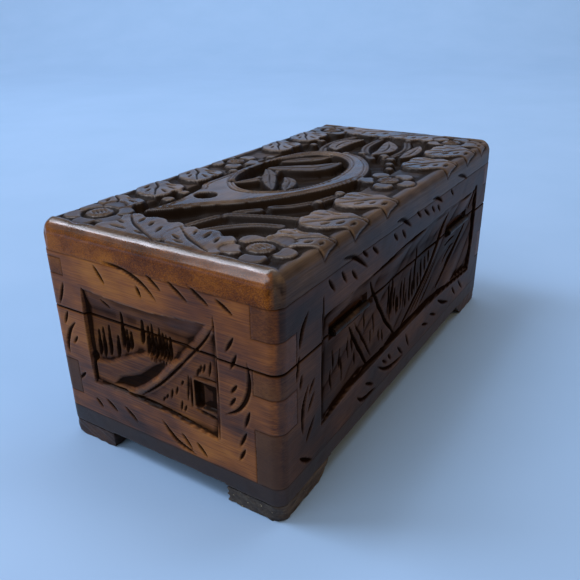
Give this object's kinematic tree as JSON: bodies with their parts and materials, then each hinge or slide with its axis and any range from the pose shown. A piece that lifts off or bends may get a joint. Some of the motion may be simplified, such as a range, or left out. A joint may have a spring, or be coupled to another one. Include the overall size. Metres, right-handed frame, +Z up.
{
  "type": "hand crank music box",
  "caption": "Carved hardwood casket with a hinged lid, corner fingers and bracket feet, and a hand-cranked comb movement inside.",
  "frame": {"origin": "on the table plane under the middle of the whole outline, crank and hinge barrels included", "axes": "+Z up, +X towards the right end of the casket, away from the crank, -Y towards the front, away from the hinges"},
  "size_m": [0.2768, 0.1262, 0.112],
  "materials": {
    "carved_wood": "stained and varnished, carved",
    "inner_wood": "sanded, thin oil",
    "turned_wood": "turned and varnished",
    "brass": "satin, slightly dulled",
    "steel": "ground",
    "cast_iron": "zinc plated, machined top",
    "clear_sheet": "clear acrylic sheet, polished"
  },
  "bodies": {
    "case": {"back_board": "carved_wood", "base_panel": "carved_wood", "bedplate": "brass", "bracket_screws": "steel", "comb": "steel", "comb_anvil": "cast_iron", "comb_screws": "steel", "crank_bush": "brass", "cylinder_bearing_back": "brass", "cylinder_bearing_front": "brass", "foot_back_left": "carved_wood", "foot_back_right": "carved_wood", "foot_front_left": "carved_wood", "foot_front_right": "carved_wood", "front_board": "carved_wood", "hinge_case_screws": "brass", "hinge_left_case_leaf": "brass", "hinge_left_pin": "brass", "hinge_right_case_leaf": "brass", "hinge_right_pin": "brass", "left_end_board": "carved_wood", "movement_screws": "steel", "movement_window": "clear_sheet", "partition": "inner_wood", "right_end_board": "carved_wood", "window_cleat_back": "inner_wood", "window_cleat_front": "inner_wood", "window_screws": "steel", "worm_bearing_inner": "brass", "worm_bearing_outer": "brass"},
    "lid": {"lid_panel": "carved_wood", "lid_front_rail": "carved_wood", "lid_back_rail": "carved_wood", "lid_right_rail": "carved_wood", "lid_left_rail": "carved_wood", "hinge_right_lid_leaf": "brass", "hinge_left_lid_leaf": "brass", "hinge_lid_screws": "brass"},
    "crank": {"crank_shaft": "steel", "shaft_collar": "steel", "worm": "steel", "crank_arm": "steel", "knob_pin": "steel"},
    "knob": {"knob": "turned_wood"},
    "cylinder": {"tune_cylinder": "brass", "cylinder_caps": "brass", "cylinder_arbor": "steel", "tune_pins": "steel", "worm_wheel": "brass"}
  },
  "joints": [
    {"name": "lid_hinge", "type": "hinge", "parent": "case", "child": "lid", "pos_m": [0.01145, 0.0614, 0.0708], "axis": [-1, 0, 0], "range_deg": [0, 103]},
    {"name": "crank_turn", "type": "hinge", "parent": "case", "child": "crank", "pos_m": [-0.10855, -0.0006, 0.0417], "axis": [1, 0, 0], "continuous": true},
    {"name": "knob_spin", "type": "hinge", "parent": "crank", "child": "knob", "pos_m": [-0.12855, -0.0006, 0.0177], "axis": [1, 0, 0], "continuous": true},
    {"name": "cylinder_turn", "type": "hinge", "parent": "case", "child": "cylinder", "pos_m": [-0.07655, -0.0141, 0.0315], "axis": [0, 1, 0], "continuous": true}
  ],
  "couplings": [
    {"joint": "cylinder_turn", "follows": "crank_turn", "ratio": -0.041667}
  ]
}
